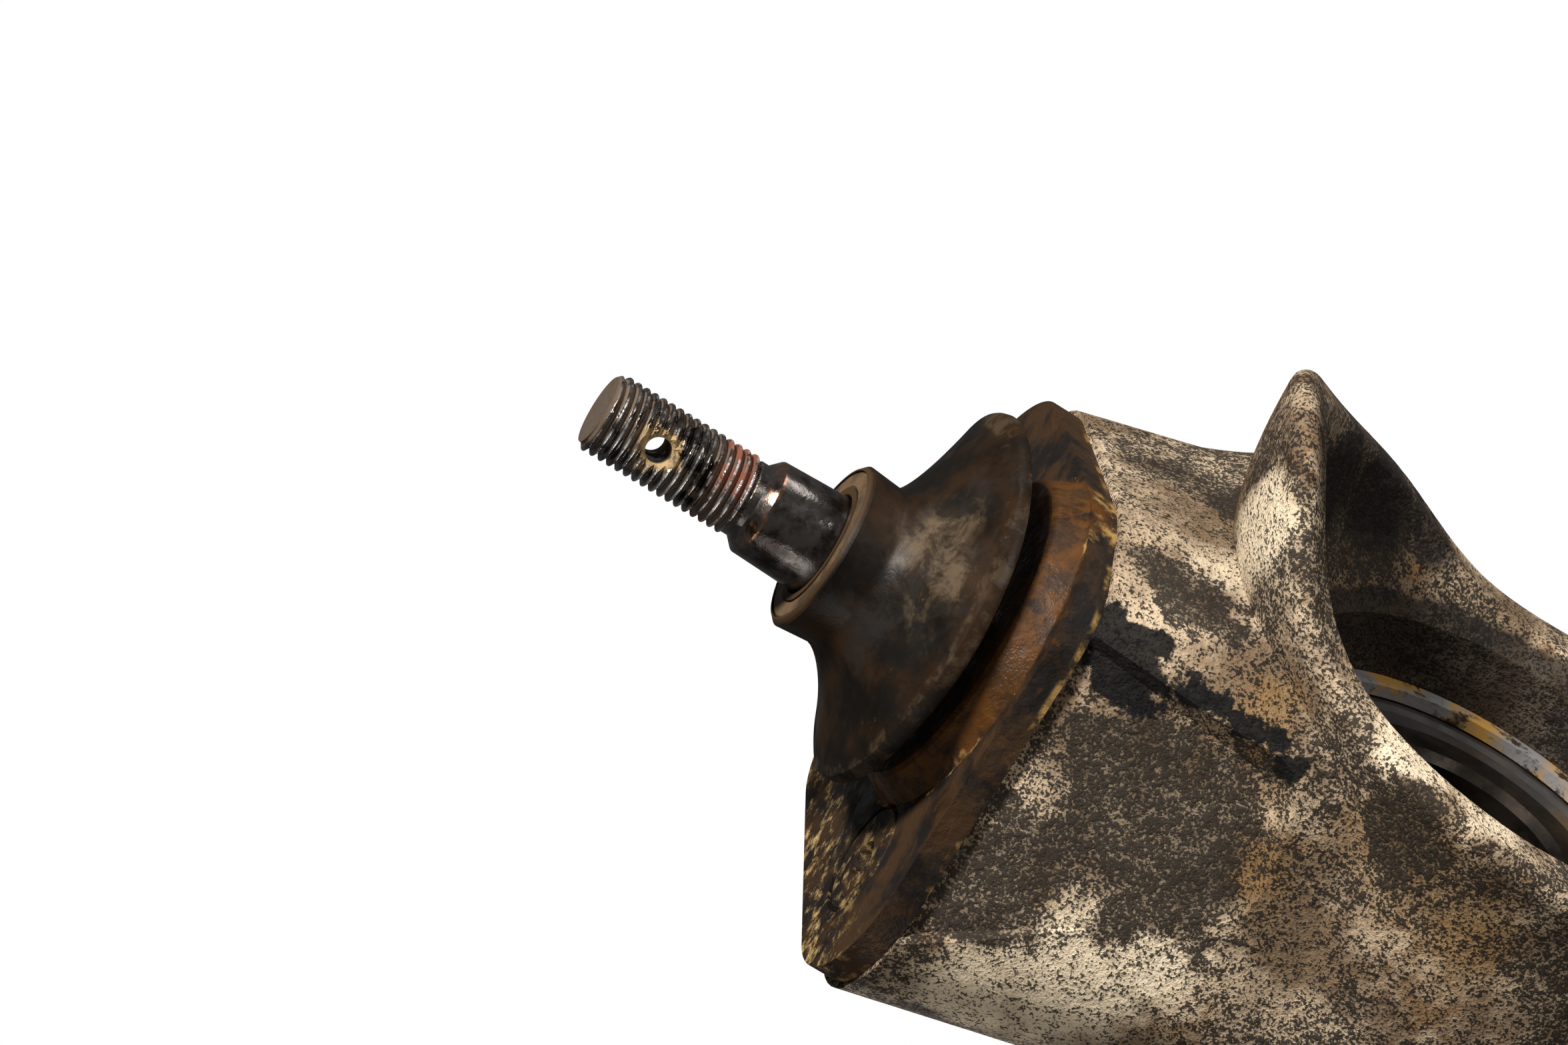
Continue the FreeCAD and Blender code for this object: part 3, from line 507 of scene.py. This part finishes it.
plateSteel = {
    "black": (0.008, 0.006, 0.005),
    "brown": (0.034, 0.017, 0.007),
    "orange": (0.075, 0.028, 0.005),
    "ochre": (0.34, 0.20, 0.06),
    "scrapeAndGlint": (0.62, 0.54, 0.42),
    "gold": (0.50, 0.33, 0.13),
    "dishStart": 0.0200,
    "dishEnd": 0.0241,
    "stepEnd": 0.0247,
    "seam": -0.0657,
}


def rustBase(tree, c):
    colour = mixColour(tree, fade(tree, noise(tree, 0.0038, 5.0, 0.65), 0.40, 0.62), c["black"], c["brown"])
    flakes = fade(tree, noise(tree, 0.0016, 4.0, 0.7), 0.58, 0.72, 0.0, 0.55)
    return mixColour(tree, flakes, colour, c["orange"])


def plateMaterial():
    material = newMaterial("plateRust", 0.5, 0.0, 0.12)
    tree = material.node_tree
    c = plateSteel
    x, y, z, radius = jointSpace(tree)
    uneven = fade(tree, noise(tree, 0.004, 4.0, 0.6), 0.3, 0.7, -0.0005, 0.0005)
    ring = combine(tree, "ADD", radius, uneven)
    colour = rustBase(tree, c)
    # gold rubbed ear at the outboard end
    ear = fade(tree, y, 0.024, 0.040)
    gold = combine(tree, "MULTIPLY", ear, fade(tree, noise(tree, 0.0013, 5.0, 0.7), 0.50, 0.72))
    colour = mixColour(tree, combine(tree, "MULTIPLY", gold, 0.9), colour, c["gold"])
    slope = window(tree, ring, c["dishStart"], c["dishEnd"], 0.0009)
    mottled = fade(tree, noise(tree, 0.0022, 5.0, 0.72), 0.38, 0.62, 0.1, 0.95)
    colour = mixColour(tree, combine(tree, "MULTIPLY", slope, mottled), colour, c["orange"])
    # ochre rust and pale specks on the step, which together paint a highlight along its edge; fainter pale
    # specks on the ear
    step = window(tree, ring, c["dishEnd"] + 0.0002, c["stepEnd"], 0.0002)
    broken = fade(tree, noise(tree, 0.0030, 4.0, 0.7), 0.52, 0.68, 0.0, 0.7)
    colour = mixColour(tree, combine(tree, "MULTIPLY", step, broken), colour, c["ochre"])
    scrapesAndGlints = fade(tree, noise(tree, 0.0007, 3.0, 0.75), 0.66, 0.74)
    where = combine(tree, "ADD", combine(tree, "MULTIPLY", step, 0.9), combine(tree, "MULTIPLY", ear, 0.35))
    colour = mixColour(tree, combine(tree, "MULTIPLY", scrapesAndGlints, where), colour, c["scrapeAndGlint"])
    seam = fade(tree, z, c["seam"] - 0.0006, c["seam"])
    seamPatches = fade(tree, noise(tree, 0.003, 4.0, 0.7), 0.52, 0.68, 0.0, 0.6)
    colour = mixColour(tree, combine(tree, "MULTIPLY", seam, seamPatches), colour, c["ochre"])
    height = noise(tree, 0.0011, 4.0, 0.68)
    rough = fade(tree, noise(tree, 0.003, 4.0, 0.6), 0.35, 0.65, 0.34, 0.72)
    return finishSurface(material, colour, rough, bump(tree, height, 0.0005, 0.8))


def rivetMaterial():
    material = newMaterial("rivetRust", 0.55, 0.0, 0.12)
    tree = material.node_tree
    c = plateSteel
    colour = rustBase(tree, c)
    worn = fade(tree, noise(tree, 0.0014, 5.0, 0.7), 0.50, 0.68, 0.0, 0.45)
    colour = mixColour(tree, worn, colour, c["gold"])
    height = noise(tree, 0.0010, 4.0, 0.68)
    return finishSurface(material, colour, 0.58, bump(tree, height, 0.0005, 0.9))


studSteel = {
    "bright": (0.42, 0.40, 0.38),
    "dark": (0.10, 0.088, 0.080),
    "darker": (0.022, 0.017, 0.014),
    "brown": (0.085, 0.050, 0.026),
    "rust": (0.13, 0.030, 0.008),
    "ochre": (0.34, 0.22, 0.09),
    "copper": (0.26, 0.12, 0.06),
    "tipFace": (0.055, 0.034, 0.018),
}


def studMaterial():
    material = newMaterial("studSteelOiled", 0.3, 0.85)
    tree = material.node_tree
    c = studSteel
    s = stud
    x, y, z, radius = jointSpace(tree)
    below = combine(tree, "MULTIPLY", z, -1.0)
    threadStart = s["tip"] - s["threadLength"]
    thread = fade(tree, below, threadStart - 0.0008, threadStart + 0.0002)
    colour = mixColour(tree, fade(tree, noise(tree, 0.0026, 5.0, 0.65), 0.42, 0.62), c["dark"], c["darker"])
    # dirt lies in the roots of the thread, crests are rubbed bright in places
    dirty = fade(tree, noise(tree, 0.0030, 5.0, 0.65), 0.40, 0.58)
    deep = fade(tree, radius, s["root"] + 0.0002, s["crest"] - 0.0002, 1.0, 0.25)
    dirtAmount = combine(tree, "MULTIPLY", thread, combine(tree, "MULTIPLY", deep, dirty))
    colour = mixColour(tree, dirtAmount, colour, c["brown"])
    crest = fade(tree, radius, s["crest"] - 0.00022, s["crest"] - 0.00008)
    rubbed = combine(tree, "MULTIPLY", crest, fade(tree, noise(tree, 0.0022, 4.0, 0.7), 0.44, 0.58))
    rubbed = combine(tree, "MULTIPLY", rubbed, thread)
    colour = mixColour(tree, rubbed, colour, c["bright"])
    # red rust at the thread's end, ochre round the pin hole, copper tint on the shoulder
    reds = window(tree, below, threadStart + 0.0010, threadStart + 0.0048, 0.0012)
    redAmount = combine(tree, "MULTIPLY", reds, fade(tree, noise(tree, 0.0024, 5.0, 0.7), 0.46, 0.60))
    colour = mixColour(tree, redAmount, colour, c["rust"])
    heading = s["pinTurn"]
    turn = Matrix.Rotation(jointFrame["lean"], 3, "X")
    holes = []
    for side in (-1, 1):
        mouth = Vector((math.cos(heading), math.sin(heading), 0.0)) * (side * s["crest"])
        place = jointFrame["start"] + turn @ (mouth + Vector((0, 0, -s["pinDrop"])))
        holes.append((*place, 0.0042))
    round = spots(tree, holes, 0.45, 0.0009, 0.0016)
    ochre = combine(tree, "MULTIPLY", round, fade(tree, noise(tree, 0.0012, 4.0, 0.7), 0.36, 0.56))
    colour = mixColour(tree, ochre, colour, c["ochre"])
    shoulder = window(tree, below, s["coneEnd"] - 0.0002, s["reliefEnd"] - 0.0006, 0.0003)
    tint = combine(tree, "MULTIPLY", shoulder, fade(tree, noise(tree, 0.0016, 4.0, 0.7), 0.42, 0.60))
    colour = mixColour(tree, combine(tree, "MULTIPLY", tint, 0.85), colour, c["copper"])
    face = fade(tree, below, s["tip"] - 0.00035, s["tip"] - 0.00015)
    colour = mixColour(tree, combine(tree, "MULTIPLY", face, 0.9), colour, c["tipFace"])
    rust = combine(tree, "MAXIMUM", combine(tree, "MAXIMUM", dirtAmount, redAmount),
                   combine(tree, "MAXIMUM", ochre, face))
    metal = fade(tree, rust, 0.0, 0.8, 0.9, 0.05)
    smooth = fade(tree, noise(tree, 0.0022, 4.0, 0.62), 0.35, 0.68, 0.13, 0.32)
    rough = combine(tree, "MAXIMUM", smooth, fade(tree, rust, 0.0, 0.7, 0.0, 0.85))
    pits = noise(tree, 0.0007, 4.0, 0.7)
    depth = bump(tree, pits, 0.00012, 0.5)
    crust = combine(tree, "MULTIPLY", rust, noise(tree, 0.0009, 4.0, 0.7))
    return finishSurface(material, colour, rough, bump(tree, crust, 0.0004, 0.8, depth), metal)


bootRubber = {
    "black": (0.004, 0.003, 0.002),
    "brown": (0.019, 0.009, 0.0035),
    "dust": (0.085, 0.058, 0.034),
    "grey": (0.016, 0.013, 0.011),
    "lip": (0.045, 0.025, 0.011),
    "dustSpots": [(0.0080, -0.0270, -0.0800, 0.0105), (0.0150, -0.0240, -0.0790, 0.0080)],
}


def bootMaterial():
    material = newMaterial("bootRubberDusty", 0.5, 0.0, 0.10)
    tree = material.node_tree
    c = bootRubber
    b = boot
    x, y, z, radius = jointSpace(tree)
    below = combine(tree, "MULTIPLY", z, -1.0)
    blotches = fade(tree, noise(tree, 0.0075, 5.0, 0.6, 0.2), 0.40, 0.62)
    colour = mixColour(tree, blotches, c["black"], c["brown"])
    greys = fade(tree, noise(tree, 0.005, 5.0, 0.65, 0.4), 0.54, 0.70, 0.0, 0.7)
    colour = mixColour(tree, greys, colour, c["grey"])
    dusty = combine(tree, "MULTIPLY", spots(tree, c["dustSpots"], 0.8, 0.003, 0.005),
                    fade(tree, noise(tree, 0.0024, 5.0, 0.7, 0.5), 0.42, 0.62, 0.1, 0.9))
    colour = mixColour(tree, dusty, colour, c["dust"])
    edge = window(tree, radius, b["rimRadius"] - 0.0009, b["rimRadius"] + 0.004, 0.0007)
    worn = fade(tree, noise(tree, 0.0025, 5.0, 0.7), 0.48, 0.64, 0.0, 0.35)
    colour = mixColour(tree, combine(tree, "MULTIPLY", edge, worn), colour, c["dust"])
    lip = fade(tree, below, b["lip"] - 0.0006, b["lip"] - 0.0001)
    colour = mixColour(tree, combine(tree, "MULTIPLY", lip, 0.9), colour, c["lip"])
    specks = fade(tree, noise(tree, 0.0006, 3.0, 0.7), 0.68, 0.76, 0.0, 0.45)
    colour = mixColour(tree, specks, colour, c["dust"])
    height = noise(tree, 0.0012, 4.0, 0.65)
    creases = noise(tree, 0.006, 3.0, 0.5, 0.6)
    normal = bump(tree, height, 0.00018, 0.7, bump(tree, creases, 0.0006, 0.5))
    rough = fade(tree, noise(tree, 0.004, 4.0), 0.35, 0.65, 0.36, 0.66)
    return finishSurface(material, colour, rough, normal)


circlipSteel = {
    "ochre": (0.62, 0.34, 0.08),
    "worn": (0.32, 0.31, 0.30),
    "grime": (0.05, 0.03, 0.015),
}


def circlipMaterial():
    # ochre finish, worn to grey in patches
    material = newMaterial("circlipOchre", 0.45, 0.5)
    tree = material.node_tree
    patches = fade(tree, noise(tree, 0.0045, 4.0, 0.6), 0.40, 0.58)
    colour = mixColour(tree, patches, circlipSteel["ochre"], circlipSteel["worn"])
    grime = fade(tree, noise(tree, 0.0016, 4.0, 0.7), 0.52, 0.66)
    colour = mixColour(tree, grime, colour, circlipSteel["grime"])
    height = noise(tree, 0.0008, 3.0, 0.6)
    return finishSurface(material, colour, 0.5, bump(tree, height, 0.0002, 0.6))


def metalMaterial(name, light, dark, roughness):
    material = newMaterial(name, roughness, 0.9)
    tree = material.node_tree
    colour = mixColour(tree, fade(tree, noise(tree, 0.004, 4.0, 0.6), 0.38, 0.64), dark, light)
    rough = fade(tree, noise(tree, 0.004 * 0.4, 4.0), 0.3, 0.7, roughness - 0.1, roughness + 0.15)
    height = noise(tree, 0.0006, 3.0, 0.6)
    return finishSurface(material, colour, rough, bump(tree, height, 0.0001, 0.5))


def softMaterial(name, light, dark, roughness):
    material = newMaterial(name, roughness, 0.0)
    tree = material.node_tree
    colour = mixColour(tree, fade(tree, noise(tree, 0.003, 4.0, 0.6), 0.38, 0.64), dark, light)
    rough = fade(tree, noise(tree, 0.002, 3.0), 0.3, 0.7, roughness - 0.1, roughness + 0.15)
    height = noise(tree, 0.0007, 3.0, 0.6)
    return finishSurface(material, colour, rough, bump(tree, height, 0.0001, 0.5))


def dressNodes():
    lipSteel = softMaterial("lipRingRust", (0.10, 0.058, 0.024), (0.03, 0.017, 0.008), 0.6)
    bearingSteel = metalMaterial("bearingSteel", (0.50, 0.48, 0.45), (0.22, 0.20, 0.18), 0.32)
    # bearing's outer ring and inboard inner ring: greasy near-black, darkened further as painted shade for
    # the shaded mouth of the bearing
    greaseAndShadeRing = metalMaterial("greaseAndShadeRing", (0.030, 0.022, 0.016), (0.010, 0.008, 0.006), 0.5)
    greasedMetal = metalMaterial("linerMetal", (0.42, 0.33, 0.20), (0.16, 0.12, 0.07), 0.45)
    springSteel = metalMaterial("springSteel", (0.20, 0.19, 0.20), (0.07, 0.06, 0.06), 0.4)
    cupSteel = metalMaterial("cupSteel", (0.36, 0.34, 0.31), (0.15, 0.13, 0.11), 0.42)
    cageSteel = metalMaterial("cageSteel", (0.42, 0.40, 0.38), (0.2, 0.18, 0.16), 0.4)
    sealRubber = softMaterial("sealRubber", (0.022, 0.014, 0.009), (0.006, 0.005, 0.004), 0.6)
    finishes = {
        "knuckle_casting": castIronMaterial(),
        "joint_flange_plate": plateMaterial(),
        "flange_rivets": rivetMaterial(),
        "boot_lip_ring": lipSteel,
        "joint_socket_cup": cupSteel,
        "preload_disc_spring": springSteel,
        "socket_liner_upper": greasedMetal,
        "socket_liner_lower": greasedMetal,
        "bearing_outer_ring": greaseAndShadeRing,
        "bearing_inner_ring_inboard": greaseAndShadeRing,
        "bearing_inner_ring_outboard": bearingSteel,
        "bearing_rollers_inboard": bearingSteel,
        "bearing_rollers_outboard": bearingSteel,
        "bearing_ring_clip": springSteel,
        "roller_cage_inboard": cageSteel,
        "roller_cage_outboard": cageSteel,
        "bearing_circlip": circlipMaterial(),
        "bearing_seal_inboard": sealRubber,
        "bearing_seal_outboard": sealRubber,
    }
    for node, material in finishes.items():
        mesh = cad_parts[node].data
        mesh.materials.clear()
        mesh.materials.append(material)
    for name, material in (("threadedBallStud", studMaterial()), ("rubberBoot", bootMaterial())):
        bpy.data.objects[name].data.materials.append(material)


dressNodes()
print("materials:", len(bpy.data.materials))


# Camera, light and floor

shot = {
    "place": (0.53791, -0.26123, -0.21173),
    "right": (-0.01765226, -0.44995805, 0.89287521),
    "down": (0.44743985, 0.79504909, 0.40950523),
    "forward": (-0.8941398, 0.40673664, 0.18729475),
    "lens": 108.06,
}


def makeCamera():
    camera = bpy.data.objects.new("photoCamera", bpy.data.cameras.new("photoCamera"))
    camera.data.lens = shot["lens"]
    camera.data.sensor_width = 36.0
    camera.data.clip_start = 0.01
    axes = [Vector(shot["right"]), -Vector(shot["down"]), -Vector(shot["forward"])]
    turn = Matrix((axes[0], axes[1], axes[2])).transposed().to_4x4()
    camera.matrix_world = Matrix.Translation(shot["place"]) @ turn
    bpy.context.scene.collection.objects.link(camera)
    bpy.context.scene.camera = camera


def fromShot(right, up, back):
    # a place measured from the middle of the object in the photograph's own directions
    middle = Vector((0.0, -0.02, -0.05))
    return (middle + Vector(shot["right"]) * right - Vector(shot["down"]) * up
            - Vector(shot["forward"]) * back)


def softBox(name, place, width, power, target=(0.0, -0.02, -0.06)):
    lamp = bpy.data.lights.new(name, "AREA")
    lamp.shape = "DISK"
    lamp.size = width
    lamp.energy = power
    holder = bpy.data.objects.new(name, lamp)
    holder.location = place
    holder.rotation_euler = (Vector(target) - Vector(place)).to_track_quat("-Z", "Y").to_euler()
    bpy.context.scene.collection.objects.link(holder)


studio = {
    "worldLight": 0.10,
    "worldSeen": 1.0,
    "floorLevel": -0.26,
    "floorReach": 3.0,
}


def makeLight():
    softBox("keySoftBox", fromShot(-0.34, 0.62, 0.56), 0.20, 17.0)
    softBox("fillSoftBox", fromShot(-0.3, -0.7, 0.4), 0.5, 2.0)
    softBox("topSoftBox", fromShot(0.3, 0.85, 0.1), 0.4, 2.5)
    softBox("rightSoftBox", fromShot(0.7, 0.3, 0.5), 0.25, 3.0, (0.0, -0.03, 0.0))
    softBox("backSoftBox", (-0.45, 0.55, 0.75), 0.6, 16.0)
    world = bpy.data.worlds.new("studio")
    world.use_nodes = True
    bpy.context.scene.world = world
    tree = world.node_tree
    background = tree.nodes["Background"]
    path = tree.nodes.new("ShaderNodeLightPath")
    seen = combine(tree, "MAXIMUM", path.outputs["Is Camera Ray"], path.outputs["Is Transmission Ray"])
    background.inputs["Color"].default_value = (1.0, 1.0, 1.0, 1.0)
    brightness = fade(tree, seen, 0.0, 1.0, studio["worldLight"], studio["worldSeen"])
    feed(tree, background.inputs["Strength"], brightness)


def makeFloor():
    bm = bmesh.new()
    bmesh.ops.create_grid(bm, x_segments=1, y_segments=1, size=studio["floorReach"])
    bmesh.ops.translate(bm, vec=(0, 0, studio["floorLevel"]), verts=bm.verts)
    floor = toObject(bm, "studioFloor")
    material = newMaterial("floorPaper", 0.9, 0.0)
    finishSurface(material, (0.86, 0.86, 0.85))
    floor.data.materials.append(material)
    # the key light lies below the floor, so the floor lets it through
    floor.visible_shadow = False
    floor.visible_diffuse = False
    floor.visible_glossy = False


makeCamera()
makeLight()
makeFloor()
bpy.context.scene.view_settings.view_transform = "Standard"
print("camera, light and floor ready")
